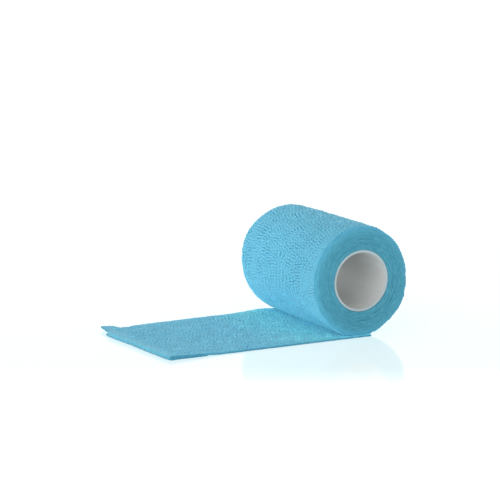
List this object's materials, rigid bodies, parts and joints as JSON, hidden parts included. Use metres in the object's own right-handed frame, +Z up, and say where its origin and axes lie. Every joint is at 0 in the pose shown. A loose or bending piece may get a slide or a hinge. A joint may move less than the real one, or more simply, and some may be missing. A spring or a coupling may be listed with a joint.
{
  "type": "support tape roll",
  "caption": "Roll of crinkled elastic support tape on a white tube, lying on its side with a loose end run out flat and folded under.",
  "frame": {"origin": "on the surface it lies on, under the roll's axis, halfway between its two ends, on the flat underside of the loose tape", "axes": "+Z up; Y is the roll's own axis, the end with the open tube in view towards -Y; the loose end runs out towards -X"},
  "size_m": [0.1341, 0.075, 0.0548],
  "materials": {
    "tape": "matt crinkled nonwoven crepe, light sky blue",
    "tube": "smooth, satin, off-white"
  },
  "bodies": {
    "root": {"core": "tube", "wound_roll": "tape", "loose_end": "tape"}
  },
  "joints": []
}
